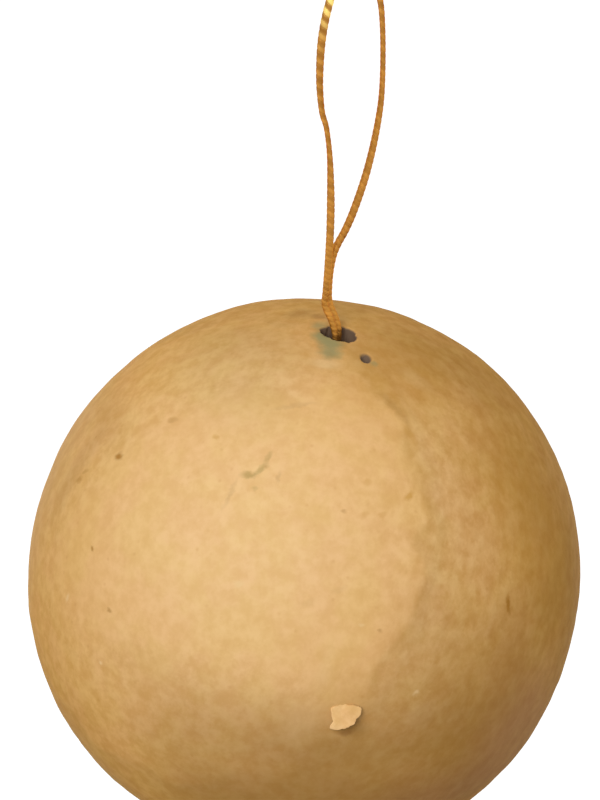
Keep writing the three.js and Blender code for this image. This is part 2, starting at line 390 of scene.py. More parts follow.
# %% Heights over the ball
# Each swell: the way it faces, how high it is, and how many degrees it stretches.
SWELLS = [
    ((0.7, 0.3, 0.65), 0.0003, 32),
    ((-0.76, -0.46, -0.45), 0.0004, 34),
    ((0.64, -0.53, -0.55), 0.0003, 28),
    ((0.97, -0.2, -0.07), -0.0003, 30),
    ((-0.97, 0, 0.21), -0.0003, 30),
    ((0.1, 0.95, -0.3), 0.00025, 36),
]
SKIN_THICKNESS, FRONT_THICKNESS, BACK_THICKNESS = 0.00024, 0.0001, 0.00012
FRONT_SHARPNESS, BACK_SHARPNESS = 0.3, 0.6  # how far the edges of these sheets stand up, from 0 to 1
CREASE_DEPTH, CREASE_WIDTH = 0.00012, 1.1
SMOOTH_FROM_TO = (0, 24)  # degrees up the ball, where smooth paper begins and where it is full
SMOOTH_WANDER = 4  # degrees by which that goes up and down
SKIN_SOFTNESS, FRONT_SOFTNESS = 4, 6  # degrees to either side of an edge over which smoothness fades out
PULP_CALMED = 0.6  # the share of the pulp's height that smooth paper takes away
LUMP_HEIGHT, PULP_HEIGHT = 0.00004, 0.000014
# The waves of each random field: their seed, how many, the shortest and the longest.
SMOOTH_WAVES = 7, 24, 0.004, 0.02
LUMP_WAVES = 17, 24, 0.009, 0.026
PULP_WAVES = 19, 48, 0.0018, 0.0055


def smooth_paper(d):
    """1 where both sheets lie smooth, 0 on bare pulp: inside both edges, and fading out down the front."""
    fade = smoothstep(height_angle(d) + SMOOTH_WANDER * waves(d, *SMOOTH_WAVES), *SMOOTH_FROM_TO)
    in_skin = 1 - smoothstep(past_edge(d, SKIN), -SKIN_SOFTNESS, SKIN_SOFTNESS)
    in_front = 1 - smoothstep(past_edge(d, FRONT), -FRONT_SOFTNESS, FRONT_SOFTNESS)
    return in_skin * in_front * fade


def relief(d):
    """Height over the plain ball: each swell's bell curve of the angle from its middle, a step for each
    sheet, a crease along the skin's edge where that stands up, soft lumps, and pulp that is coarse off the
    skin."""
    skin_edge, sharp = past_edge(d, SKIN), lap_sharpness(d)
    on_skin = sheet_cover(d, skin_edge, SKIN_LAP, sharp)
    on_front = on_skin * sheet_cover(d, past_edge(d, FRONT), FRONT_LAP, FRONT_SHARPNESS)
    on_back = sheet_cover(d, past_edge(d, BACK), BACK_LAP, BACK_SHARPNESS)
    crease = sharp * np.exp(-((skin_edge / CREASE_WIDTH) ** 2)) * (angle_from(d, SKIN_LAP) < LAP_REACH)
    height = sum(lift * np.exp(-((angle_from(d, facing) / spread) ** 2)) for facing, lift, spread in SWELLS)
    height = height + SKIN_THICKNESS * on_skin + FRONT_THICKNESS * on_front + BACK_THICKNESS * on_back
    height = height - CREASE_DEPTH * crease
    height = height + LUMP_HEIGHT * waves(d, *LUMP_WAVES)
    return height + PULP_HEIGHT * (1 - PULP_CALMED * smooth_paper(d)) * waves(d, *PULP_WAVES)


six_ways = np.concatenate([np.eye(3), -np.eye(3)])
print("relief along +X, +Y, +Z, -X, -Y and -Z in mm:", (relief(six_ways) * MM).round(2).tolist())

# %% [markdown]
# ## The paper ball: one closed skin
#
# A boolean cut through a sphere leaves a machined hole. This hole was torn, so the mesh is built around
# it: rings run from the bottom of the hollow up the inside, out through the torn edge, over a soft lip and
# down the outside to the bottom. Rings lie close together near the hole and further apart below. The pin
# hole beside it is a deep pit in the same rings.

# %% Torn hole and pin hole
HOLE_MIDDLE = (0.00185, 0.0001)
HOLE_LENGTH, HOLE_WIDTH, HOLE_TURN = 0.0048, 0.0042, math.radians(-15)
HOLE_TEAR, HOLE_SEED = 0.00014, 29
TEAR_TURNS = np.array([2, 3, 5, 8, 13, 19])  # how often each ragged wave goes up and down around an edge
PIN_FACING, PIN_DEPTH = (0.142, -0.121, 0.982), 0.001
PIN_WIDTH, PIN_LENGTH = 0.0015, 0.002
PIN_FLOOR, PIN_RIM = 0.25, 1.3  # shares of its oval where the pit is level, and where it begins


def torn(around, seed, size):
    """A ragged change of length around an edge: cosines of ever more turns, ever smaller, seeded phases."""
    phase = np.random.default_rng(seed).uniform(0, 2 * np.pi, len(TEAR_TURNS))
    return size * np.sum(np.cos(around[..., None] * TEAR_TURNS + phase) / np.sqrt(TEAR_TURNS), axis=-1)


def hole_edge(around):
    """How far the hole's edge is from its middle: the radius of an oval with half axes a and b, which is
    a b over the length of (b cos, a sin) of the angle, plus the tear."""
    a, b = HOLE_LENGTH / 2, HOLE_WIDTH / 2
    oval = a * b / np.hypot(b * np.cos(around - HOLE_TURN), a * np.sin(around - HOLE_TURN))
    return oval + torn(around, HOLE_SEED, HOLE_TEAR)


def pin_pit(d):
    """How deep the pin hole is, from 0 to 1, by how far each direction is from its middle in shares of its
    oval. Directions on the other side of the ball count as far away."""
    out = unit(PIN_FACING)
    right = unit(np.cross((0, 1, 0), out))
    back = np.cross(out, right)
    x, y = d @ right / (PIN_WIDTH / 2), d @ back / (PIN_LENGTH / 2)
    away = np.where(d @ out > 0, np.hypot(x, y) * BALL_RADIUS, np.inf)
    return 1 - smoothstep(away, PIN_FLOOR, PIN_RIM)


quarters = hole_edge(np.linspace(0, 2 * np.pi, 4, endpoint=False))
print("hole edge from its middle, at four quarters in mm:", (quarters * MM).round(2).tolist())

# %% Ball rings
WALL = 0.0024
UNDERCUT = 0.0004  # the torn edge overhangs the hollow
LIP = 0.0003
BALL_COLUMNS = 392
INSIDE_ROWS, WALL_ROWS, LIP_ROWS, NEAR_ROWS, FAR_ROWS = 12, 6, 5, 44, 182
NEAR_REACH = 0.008  # how far from the hole the rings lie closest together
POLE_GAP = 0.004  # radians left at each bottom, which the fan closes
FRONT_CROWDING = 0.35  # how much closer together the columns lie on the front than on average
TOP_CROWDING = 0.25  # and the rows on the upper half
PIT_PAPER, PIT_DARK = 0.02, 0.35  # how deep in the pin hole the paper ends, and where it is all painted shade


def ball_rings():
    """Rings around the hole's axis. Each point is a direction, at some angle from that axis, times a radius.
    Inside, the radius is the hollow's and the angle closes in on the torn edge; in the wall the radius
    grows; on the lip both follow a quarter circle; outside, the angle opens to the bottom and the radius
    is the ball's plus its relief. Returns the rings, the directions, and 1 on the outside or 0 in a hole."""
    even = np.linspace(0, 2 * np.pi, BALL_COLUMNS, endpoint=False)
    around = even - np.pi / 2 - FRONT_CROWDING * np.sin(even)
    edge = hole_edge(around)
    inner = BALL_RADIUS - WALL

    share = np.linspace(0, 1, INSIDE_ROWS)[:, None]
    inside = (1 - share) * (np.pi - POLE_GAP) * BALL_RADIUS + share * (edge + UNDERCUT)
    wall = edge + UNDERCUT * np.linspace(1, 0, WALL_ROWS + 2)[1:-1, None]
    quarter = np.linspace(0, np.pi / 2, LIP_ROWS)[:, None]
    lip = edge + LIP * (1 - np.cos(quarter))
    near = edge + LIP + NEAR_REACH * np.linspace(0, 1, NEAR_ROWS + 1)[1:, None]
    share = np.linspace(0, 1, FAR_ROWS + 1)[1:, None]
    share = (1 - TOP_CROWDING) * share + TOP_CROWDING * share**3
    far = (1 - share) * near[-1] + share * (np.pi - POLE_GAP) * BALL_RADIUS

    angle = np.concatenate([inside, wall, lip, near, far]) / BALL_RADIUS
    radius = np.concatenate([
        np.full(INSIDE_ROWS, inner),
        np.linspace(inner, BALL_RADIUS - LIP, WALL_ROWS + 2)[1:-1],
        (BALL_RADIUS - LIP * (1 - np.sin(quarter)))[:, 0],
        np.full(NEAR_ROWS + FAR_ROWS, BALL_RADIUS),
    ])[:, None]
    out = smoothstep(radius, inner, BALL_RADIUS - LIP)

    axis = unit([*HOLE_MIDDLE, math.sqrt(BALL_RADIUS**2 - HOLE_MIDDLE[0] ** 2 - HOLE_MIDDLE[1] ** 2)])
    right = unit(np.cross((0, 1, 0), axis))
    back = np.cross(axis, right)
    level = np.cos(around)[:, None] * right + np.sin(around)[:, None] * back
    d = np.cos(angle)[..., None] * axis + np.sin(angle)[..., None] * level
    pit = pin_pit(d)
    outside = smoothstep(radius, BALL_RADIUS - LIP, BALL_RADIUS) * (1 - smoothstep(pit, PIT_PAPER, PIT_DARK))
    radius = radius + out * (relief(d) - PIN_DEPTH * pit)
    return np.array(BALL_CENTRE) + radius[..., None] * d, d, outside


rings, directions, outside = ball_rings()
print("ball:", len(rings), "rings of", BALL_COLUMNS, "points")

# %% Ball piece
# Painted light, where the paper is made paler: facing the broad lamp, and more weakly on the dim back.
# Each: the way it faces, how many degrees that stretches, and how pale it is.
LIT_PALE_PLACES = [((-0.22, -0.74, 0.62), 50, 1.0), ((0.2, 0.93, 0.1), 36, 0.55)]
SKIN_FADE = (-2.5, 3.5)  # degrees past the skin's edge, from where its colour fades out and to where


def painted_paleness(d):
    """Painted light: 1 in the middle of the front, which faces the broad lamp, less on the back, each in a
    bell curve that falls off all round, so that the paper turns ochre towards its shaded sides.
    """
    return sum(pale * np.exp(-((angle_from(d, facing) / reach) ** 2)) for facing, reach, pale in LIT_PALE_PLACES)


ball = ringed_piece(
    "paper_ball", "kraft_paper", rings,
    skin=1 - smoothstep(past_edge(directions, SKIN), *SKIN_FADE), smooth=smooth_paper(directions),
    pale=painted_paleness(directions), dust=groove_dust(directions), outside=outside,
)
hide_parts("ball_shell")

# %% [markdown]
# ## The torn flake
#
# Low on the front, where the skin's edge ends, a scrap of paper stands up from the ball. It is the one
# bright spot with a dark shadow beside it, so it needs a real thickness and a real gap under its free
# edge. Its outline is torn: a few listed corners, joined by a radius that changes with the angle.

# %% Flake
FLAKE_FACING = (0.168, -0.976, 0.136)
FLAKE_CORNERS = np.array([
    (-0.0019, 0.0012), (-0.001, 0.0015), (0.0003, 0.0016), (0.0019, 0.0013), (0.0018, 0.0007),
    (0.0012, 0.0002), (0.001, -0.0003), (0.0005, -0.0006), (-0.0005, -0.0009), (-0.0014, -0.0012),
    (-0.002, -0.001), (-0.0016, -0.0003), (-0.0018, 0.0005),
])
FLAKE_THICKNESS = 0.00022
FLAKE_LIFT = 0.0017
FLAKE_ROOT = 0.00016  # how deep its root lies in the ball
FLAKE_FREE_SIDE = (0.34, -0.94)  # right and up, the way in which it rises off the ball
FLAKE_RISE = (-0.0024, 0.0017)  # how far that way it starts to rise, and how far it is fully up
FLAKE_TEAR, FLAKE_SEED = 0.00004, 31
FLAKE_CRUMPLE, CRUMPLE_WAVES = 0.00006, (37, 12, 0.001, 0.003)
FLAKE_PALE = (0.78, 0.8)  # how pale it is at its root and at its free edge
FLAKE_SMOOTH = 0.1
FLAKE_COLUMNS = 120
TOP_ROWS, UNDER_ROWS = 14, 8
FLAKE_GAP = 0.05  # the share of its outline left in the middle, which the fan closes
FLAKE_RIM = 1.02  # and the share that its edge bulges out to


def flake_rings():
    """Rings around the flake's middle, out over its top, round its edge and back underneath. The outline's
    radius runs from corner to corner with the angle, and is torn. Every point sits on the ball's relief,
    lifted more and more towards the free side, with half the thickness up on top and down underneath.
    Returns the rings, and how far each point has risen, from 0 to 1."""
    around = np.linspace(-np.pi, np.pi, FLAKE_COLUMNS, endpoint=False)
    turn = np.arctan2(FLAKE_CORNERS[:, 1], FLAKE_CORNERS[:, 0])
    outline = np.interp(around, turn, np.hypot(*FLAKE_CORNERS.T), period=2 * np.pi)
    reach = outline + torn(around, FLAKE_SEED, FLAKE_TEAR)
    top, under = np.linspace(FLAKE_GAP, 1, TOP_ROWS), np.linspace(1, FLAKE_GAP, UNDER_ROWS)
    share = np.concatenate([top, [FLAKE_RIM], under])[:, None]
    face = np.concatenate([np.ones(TOP_ROWS), [0], -np.ones(UNDER_ROWS)])[:, None]
    x, y = share * reach * np.cos(around), share * reach * np.sin(around)
    out = unit(FLAKE_FACING)
    across = unit(np.cross((0, 0, 1), out))
    along = np.cross(out, across)
    d = unit(out + (x[..., None] * across + y[..., None] * along) / BALL_RADIUS)
    free = x * FLAKE_FREE_SIDE[0] + y * FLAKE_FREE_SIDE[1]
    rise = smoothstep(free, *FLAKE_RISE)
    lift = (FLAKE_LIFT + FLAKE_ROOT) * rise - FLAKE_ROOT
    lift = lift + FLAKE_CRUMPLE * waves(d, *CRUMPLE_WAVES)
    radius = BALL_RADIUS + relief(d) + lift + face * FLAKE_THICKNESS / 2
    return np.array(BALL_CENTRE) + radius[..., None] * d, rise


rings, rise = flake_rings()
flake_pale = FLAKE_PALE[0] + (FLAKE_PALE[1] - FLAKE_PALE[0]) * rise
flake = ringed_piece(
    "torn_flake", "kraft_paper", rings, skin=1.0, smooth=FLAKE_SMOOTH, pale=flake_pale, outside=1.0
)

# %% [markdown]
# ## Kraft paper
#
# Kraft paper is brown because its fibres keep their lignin. Pasted and dried it turns mottled: paler and
# pinker where the skin lies smooth, more yellow and darker where bare pulp shows, with specks and stains.
# Light and shade are painted in as well: paler facing the broad lamp, ochre towards the shaded sides,
# painted shade low on the front, under the flake, along the skin's edge and in the holes, and a painted
# sheen on the left.
# A photograph of paper would be quicker, but nodes on Object coordinates reach all round the ball with no
# seam. The patterns are measured in millimetres from the ball's centre.

# %% Material helpers
def new_material(name):
    """A node material with a Principled shader, as (material, node tree, shader)."""
    material = bpy.data.materials.new(name)
    material.use_nodes = True
    return material, material.node_tree, material.node_tree.nodes["Principled BSDF"]


def feed(tree, node, inputs):
    """Gives a node its inputs, each either linked from another node or set to a value."""
    for key, value in inputs.items():
        if isinstance(value, bpy.types.NodeSocket):
            tree.links.new(value, node.inputs[key])
        else:
            node.inputs[key].default_value = value


def add_node(tree, kind, inputs, **settings):
    """A shader node with its settings and its inputs."""
    made = tree.nodes.new("ShaderNode" + kind)
    for key, value in settings.items():
        setattr(made, key, value)
    feed(tree, made, inputs)
    return made


def own_numbers(tree, *names):
    """The numbers that a piece carries under these names."""
    return [add_node(tree, "Attribute", {}, attribute_name=name).outputs["Fac"] for name in names]


def multiplied(tree, a, b):
    """One number times another."""
    return add_node(tree, "Math", {0: a, 1: b}, operation="MULTIPLY").outputs["Value"]


def ranged(tree, value, low, high, to_low, to_high):
    """A number taken smoothly from one range to another."""
    ends = {"Value": value, "From Min": low, "From Max": high, "To Min": to_low, "To Max": to_high}
    return add_node(tree, "MapRange", ends, interpolation_type="SMOOTHSTEP").outputs["Result"]

# %% Colour helpers
MIX_AMOUNT, MIX_UNDER, MIX_OVER, MIX_RESULT = 0, 6, 7, 2  # the sockets of a Mix node that mixes colours


def paint(red, green, blue):
    """A colour picked as 0 to 255 on screen, as the linear light that nodes work with, by the sRGB curve."""
    c = np.array([red, green, blue]) / 255
    return (*np.where(c <= 0.04045, c / 12.92, ((c + 0.055) / 1.055) ** 2.4).tolist(), 1)


def blended(tree, blend, amount, under, over):
    """One colour laid over another, by an amount from 0 to 1."""
    inputs = {MIX_AMOUNT: amount, MIX_UNDER: under, MIX_OVER: over}
    return add_node(tree, "Mix", inputs, data_type="RGBA", blend_type=blend).outputs[MIX_RESULT]


def clouds(tree, where, scale, detail, roughness):
    """A noise pattern: its waves per unit of the coordinates, its layers of detail, and their roughness."""
    values = {"Vector": where, "Scale": scale, "Detail": detail, "Roughness": roughness}
    return add_node(tree, "TexNoise", values)


def two_toned(tree, pattern, spread, low, high):
    """A pattern whose mean is a half, as a colour: low a spread below its mean and high a spread above."""
    return blended(tree, "MIX", ranged(tree, pattern, 0.5 - spread, 0.5 + spread, 0, 1), low, high)

# %% Marks on the paper
# Most marks below are real stains, specks, rust and dirt; a comment marks those that are painted shade,
# shadow or sheen, and the dark mauve colour is used only as painted shade.
RUST, SOOT_AND_SHADOW, PALE = paint(170, 112, 26), paint(141, 90, 42), paint(248, 216, 162)
DAMP, GRIME_AND_SHADE, AGED = paint(150, 150, 104), paint(152, 106, 45), paint(206, 148, 48)
BRUISE, PAINTED_SHEEN, MAUVE_SHADE = paint(200, 145, 118), paint(212, 180, 140), paint(139, 93, 84)
MOSS = paint(149, 126, 43)
# Each mark: degrees right of the front, degrees up, width and height in millimetres, degrees turned, how
# strong, and its colour.
MARKS = [
    # painted shade: this mark and the next darken the lower front
    (-10, -5, 36, 22, 4, 0.34, GRIME_AND_SHADE),
    (18, -6, 44, 22, 0, 0.42, GRIME_AND_SHADE),
    (14, 6, 34, 16, 0, 0.2, GRIME_AND_SHADE),
    (-16, 6, 40, 14, 0, 0.14, GRIME_AND_SHADE),
    # darker low on the right of the front
    (44, -4, 24, 26, 0, 0.3, GRIME_AND_SHADE),
    (27, 19, 14, 24, 0, 0.13, GRIME_AND_SHADE),
    (66, 30, 20, 52, 0, 0.36, AGED),
    (64, 73, 24, 16, 0, 0.3, AGED),
    (108, 40, 24, 30, 0, 0.25, AGED),
    (-60, 70, 30, 20, 0, 0.14, DAMP),
    # painted shadow: this mark and the next darken the ball under and beside the flake's free edge
    (11.6, 5.0, 5.0, 3.6, -20, 0.42, GRIME_AND_SHADE),
    (10.2, 4.2, 2.6, 1.3, 12, 0.4, SOOT_AND_SHADOW),
    (72, 28, 22, 70, 0, 0.2, GRIME_AND_SHADE),
    (38, 6, 22, 24, 0, 0.26, GRIME_AND_SHADE),
    (53, -12, 24, 30, 0, 0.34, BRUISE),
    (94, 66, 18, 32, 0, 0.26, GRIME_AND_SHADE),
    (-20, 84, 46, 14, 0, 0.12, GRIME_AND_SHADE),
    # painted sheen: this mark and the next make the left side and the lower left paler and greyer
    (-92, 14, 40, 66, 0, 0.22, PAINTED_SHEEN),
    (-66, -38, 38, 34, 0, 0.38, PAINTED_SHEEN),
    # painted shade: this mark and the next two darken the bottom of the front, the last one in mauve
    (-12, -19, 24, 17, 0, 0.42, GRIME_AND_SHADE),
    (10, -17, 26, 16, 0, 0.32, GRIME_AND_SHADE),
    (32, -21, 24, 18, 0, 0.36, MAUVE_SHADE),
    (52, 16, 20, 16, 0, 0.2, GRIME_AND_SHADE),
    (-146, 80.3, 5.5, 5.0, 0, 0.3, SOOT_AND_SHADOW),
    (-60, 41.5, 1.7, 1.4, 0, 0.76, RUST),
    (-51, 24.6, 1.1, 0.8, 0, 0.62, RUST),
    (-40.7, 16.7, 1.0, 0.7, 0, 0.5, RUST),
    (8.7, 46.3, 1.0, 0.7, 0, 0.36, RUST),
    (16.3, 24.2, 0.9, 0.7, 0, 0.36, RUST),
    (-54.3, 53.6, 2.0, 1.0, 30, 0.3, RUST),
    (-68, 31.4, 1.8, 1.1, 40, 0.34, RUST),
    (-67.8, 33.6, 1.6, 1.0, 40, 0.28, RUST),
    (47.5, 22.1, 0.9, 2.8, -6, 0.76, RUST),
    (-19.3, 50.7, 2.4, 1.1, 12, 0.46, MOSS),
    (-16.4, 52.3, 1.0, 2.6, -40, 0.4, MOSS),
    (-15.2, 54.9, 0.8, 2.4, -10, 0.28, MOSS),
    (-22.2, 46.2, 0.7, 5.0, -4, 0.15, SOOT_AND_SHADOW),
    (-10.4, 51.8, 0.7, 1.8, 0, 0.16, SOOT_AND_SHADOW),
    (-16.1, 48.5, 1.2, 0.9, 0, 0.2, MOSS),
    (14.2, 45.5, 1.8, 1.0, 10, 0.26, AGED),
    (19.2, 45.3, 1.4, 1.2, 0, 0.32, AGED),
    (-35.3, 55.5, 1.1, 0.9, 0, 0.4, AGED),
    (16.2, 51.5, 1.4, 1.2, 0, 0.3, AGED),
    (7.7, 32.0, 2.6, 1.0, 20, 0.06, SOOT_AND_SHADOW),
    (1.0, 29.3, 2.8, 1.3, 20, 0.1, RUST),
    (-12.0, 67.0, 7.0, 0.9, 24, 0.12, SOOT_AND_SHADOW),
    # painted shade in the crease of the skin's edge, below the hole
    (37.2, 66, 1.6, 6.5, 6, 0.26, GRIME_AND_SHADE),
    (37, 59, 1.5, 4.6, 0, 0.22, AGED),
    (27.8, 48, 1.8, 0.9, 20, 0.5, AGED),
    (-72, 31, 6.0, 17.0, 8, 0.16, SOOT_AND_SHADOW),
    (-75, 43, 17.0, 9.0, 0, 0.13, SOOT_AND_SHADOW),
    (-40.4, 5.7, 1.0, 0.8, 0, 0.6, PALE),
    (23.7, 10.9, 1.0, 0.7, 20, 0.5, PALE),
    (12.4, 25.6, 1.0, 0.7, 0, 0.4, PALE),
    (-53.3, 12.6, 0.9, 1.8, 0, 0.45, PALE),
    (-13.8, 31.0, 1.8, 1.0, 25, 0.5, PALE),
    (5.5, 17.5, 2.2, 8.0, -14, 0.15, PALE),
    (1.1, 5.9, 6.0, 8.0, 0, 0.16, PALE),
    (24.7, 6.0, 5.0, 5.0, 0, 0.12, PALE),
    (64, 69, 3.4, 7.0, 0, 0.12, PALE),
    (2.0, 79.0, 5.0, 3.0, 0, 0.35, PALE),
    (16, 85.6, 4.2, 3.8, 0, 0.8, DAMP),
    (-20, 88.0, 3.4, 3.6, 0, 0.78, DAMP),
    (-150, 87.4, 2.8, 3.0, 0, 0.55, DAMP),
    (9, 82.4, 3.8, 3.4, 0, 0.7, DAMP),
    (50, 77.2, 1.6, 1.4, 0, 0.45, DAMP),
    (-165, 83.2, 2.6, 2.6, 0, 0.4, SOOT_AND_SHADOW),
    (150, 22, 1.2, 0.9, 0, 0.74, RUST),
    (-142, 36, 1.0, 0.8, 0, 0.45, SOOT_AND_SHADOW),
    (171, -24, 1.6, 0.8, 30, 0.45, SOOT_AND_SHADOW),
    (-118, -12, 2.6, 0.9, 25, 0.4, SOOT_AND_SHADOW),
    (122, 4, 0.7, 2.4, 10, 0.6, RUST),
    (-164, 9, 1.6, 0.9, 15, 0.45, PALE),
    (112, 38, 1.2, 0.9, 0, 0.4, PALE),
    (96, -28, 1.1, 0.8, 0, 0.45, SOOT_AND_SHADOW),
    (176, 44, 0.9, 2.8, -30, 0.3, SOOT_AND_SHADOW),
    (-150, -18, 26, 18, 20, 0.2, GRIME_AND_SHADE),
]
BALL_RADIUS_MM = BALL_RADIUS * MM
MARK_DEPTH = 8  # how far a mark reaches down and up from its middle, so that it follows the ball's curve
MARK_FULL, MARK_END = 0.2, 1.25  # shares of its half width where a mark is still full, and where it ends


def mark_cover(tree, where, right, up, width, height, turn):
    """1 in the middle of an oval on the ball and 0 outside it. A Mapping node measures from the oval's
    middle, along its own width and height, in shares of how far it reaches along each. A spherical gradient
    falls from 1 in the middle to 0 at that reach, and is mapped."""
    right, up = math.radians(right), math.radians(up)
    out = Vector((math.sin(right) * math.cos(up), -math.cos(right) * math.cos(up), math.sin(up)))
    across = Vector((math.cos(right), math.sin(right), 0))
    turned = Matrix.Rotation(math.radians(turn), 3, "Z")
    basis = Matrix((across, out.cross(across), out)).transposed() @ turned
    place = {
        "Vector": where,
        "Location": out * BALL_RADIUS_MM,
        "Rotation": basis.to_euler(),
        "Scale": MARK_END * Vector((width / 2, height / 2, MARK_DEPTH)),
    }
    local = add_node(tree, "Mapping", place, vector_type="TEXTURE").outputs["Vector"]
    inwards = add_node(tree, "TexGradient", {"Vector": local}, gradient_type="SPHERICAL").outputs["Fac"]
    return ranged(tree, inwards, 0, 1 - MARK_FULL / MARK_END, 0, 1)


print(len(MARKS), "marks on the paper")

# %% Specks and bent outlines
SPECK_SIZE, SPECK_SCALE = 0.4, 0.5  # in millimetres, and in cells per millimetre
# The clouds that bend the marks' outlines: waves per millimetre, detail, roughness; and millimetres of bend.
BEND, BEND_REACH = (0.9, 4, 0.55), 1.2


def specks(tree, where):
    """Small round spots around the random points of a Voronoi pattern, each as strong as its cell's chance
    colour."""
    cells = add_node(tree, "TexVoronoi", {"Vector": where, "Scale": SPECK_SCALE}).outputs
    chance = add_node(tree, "SeparateColor", {0: cells["Color"]}).outputs["Red"]
    spot = ranged(tree, cells["Distance"], 0, SPECK_SIZE * SPECK_SCALE, 1, 0)
    return multiplied(tree, spot, chance)


def marked(tree, where, colour, marks):
    """The colour with every mark laid over it. Clouds bend the coordinates to either side first, so that no
    mark is a plain oval. A Mapping node takes back half of the bend, because the clouds' mean is a half."""
    bend = {0: clouds(tree, where, *BEND).outputs["Color"], 1: [BEND_REACH] * 3, 2: where}
    bent = add_node(tree, "VectorMath", bend, operation="MULTIPLY_ADD").outputs["Vector"]
    bent = add_node(tree, "Mapping", {"Vector": bent, "Location": [-BEND_REACH / 2] * 3}).outputs["Vector"]
    for *oval, strength, stain in marks:
        cover = multiplied(tree, mark_cover(tree, bent, *oval), strength)
        colour = blended(tree, "MIX", cover, colour, stain)
    return colour


print("specks of", SPECK_SIZE, "mm,", SPECK_SCALE, "cells a mm; outlines bent by", BEND_REACH / 2, "mm")

# %% Kraft paper finish
# pale where the painted light is strongest, ochre towards the shaded sides
PALE_COLOUR, OCHRE_COLOUR = paint(245, 206, 146), paint(230, 170, 80)
# painted shade on the walls of the torn hole and down the pin hole
HOLE_SHADE = paint(122, 101, 82)
# Colours that the paper's own colour is multiplied by.
YELLOWER, PINKER = (0.997, 1.002, 0.955, 1), (1.007, 0.984, 1.012, 1)
BROWNER, GREYER = (0.915, 0.865, 0.78, 1), (1.045, 1.085, 1.17, 1)
# painted shade for the groove at the skin's edge, and the specks' own brown
GROOVE_SHADE_TINT, SPECK_BROWN = (0.925, 0.905, 0.84, 1), (0.92, 0.86, 0.8, 1)
OFF_SKIN = 0.925  # how light the paper is off the skin
# Each cloud pattern: waves per millimetre, detail, roughness; and how far from its mean a colour is full.
BROAD, BROAD_SPREAD = (0.16, 3, 0.55), 0.15
MOTTLE, MOTTLE_SPREAD = (0.5, 5, 0.64), 0.19
STREAK, STREAK_SPREAD = (0.6, 5, 0.62), 0.25
SMOOTH_MOTTLE = 0.58  # how strong the mottling is on smooth paper
STREAK_TURN = Vector((0, 0, 1)).rotation_difference(Vector(SKIN[0])).to_euler()
STREAK_STRETCH = (2, 2, 1)  # twice as long beside the skin's edge as across it
STREAK_FROM_TO = (4, 18)  # millimetres to the right, where the streaks begin and where they are full
STREAK_STRENGTH = (0.2, 1)  # and how strong they are at both
GRAIN_DEPTH = 0.00006
PAPER_SURFACE = {"Roughness": 0.88, "Diffuse Roughness": 0.25, "Specular IOR Level": 0.12}
CENTRE_MM = tuple(-MM * x for x in BALL_CENTRE)


def kraft_paper(name, marks):
    """Pale or ochre by the piece's own attribute, which on the ball is painted light; broad yellower and
    pinker clouds; mottling, streaks that run beside the skin's edge, painted shade in its groove and specks,
    which all multiply it; the marks, some of them painted shade, shadow and sheen; and painted shade in the
    holes.
    The mottling is also the bump."""
    material, tree, shader = new_material(name)
    place = add_node(tree, "TexCoord", {}).outputs["Object"]
    to_mm = {"Vector": place, "Scale": (MM, MM, MM), "Location": CENTRE_MM}
    where = add_node(tree, "Mapping", to_mm).outputs["Vector"]
    along_skin = {"Vector": where, "Rotation": STREAK_TURN, "Scale": STREAK_STRETCH}
    streaked = add_node(tree, "Mapping", along_skin, vector_type="TEXTURE").outputs["Vector"]
    skin, smooth, pale, dust, outside = own_numbers(tree, "skin", "smooth", "pale", "dust", "outside")
    bare = ranged(tree, smooth, 0, 1, 1, SMOOTH_MOTTLE)
    rightwards = add_node(tree, "SeparateXYZ", {0: where}).outputs["X"]
    streaky = ranged(tree, rightwards, *STREAK_FROM_TO, *STREAK_STRENGTH)
    broad = clouds(tree, where, *BROAD).outputs["Fac"]
    mottle = clouds(tree, where, *MOTTLE).outputs["Fac"]
    streak = clouds(tree, streaked, *STREAK).outputs["Fac"]

    colour = blended(tree, "MIX", pale, OCHRE_COLOUR, PALE_COLOUR)
    for amount, tint in (
        (1.0, two_toned(tree, broad, BROAD_SPREAD, YELLOWER, PINKER)),
        (bare, two_toned(tree, mottle, MOTTLE_SPREAD, BROWNER, GREYER)),
        (streaky, two_toned(tree, streak, STREAK_SPREAD, BROWNER, GREYER)),
        (1.0, ranged(tree, skin, 0, 1, OFF_SKIN, 1)),
        (dust, GROOVE_SHADE_TINT),
        (specks(tree, where), SPECK_BROWN),
    ):
        colour = blended(tree, "MULTIPLY", amount, colour, tint)
    if marks:
        colour = marked(tree, where, colour, marks)
    # painted shade in the holes
    colour = blended(tree, "MIX", outside, HOLE_SHADE, colour)

    bump = add_node(tree, "Bump", {"Height": mottle, "Strength": bare, "Distance": GRAIN_DEPTH})
    feed(tree, shader, {"Base Color": colour, "Normal": bump.outputs["Normal"], **PAPER_SURFACE})
    print(f"{name}: {len(tree.nodes)} nodes")
    return material


ball.data.materials.append(kraft_paper("kraft_paper_ball", MARKS))
flake.data.materials.append(kraft_paper("kraft_paper_flake", []))

# %% [markdown]
# ## Gold thread
#
# The thread is metallic foil wound on a core. Foil is a metal to the shader, so its colour tints what it
# mirrors, and the light and shade on it are painted into that colour: one strand lighter as a highlight, a
# painted glint near the top of the loop, and painted shade in the notch between two strands. The notch
# and the fine foil windings come from attributes of the piece, so that they follow the twist.

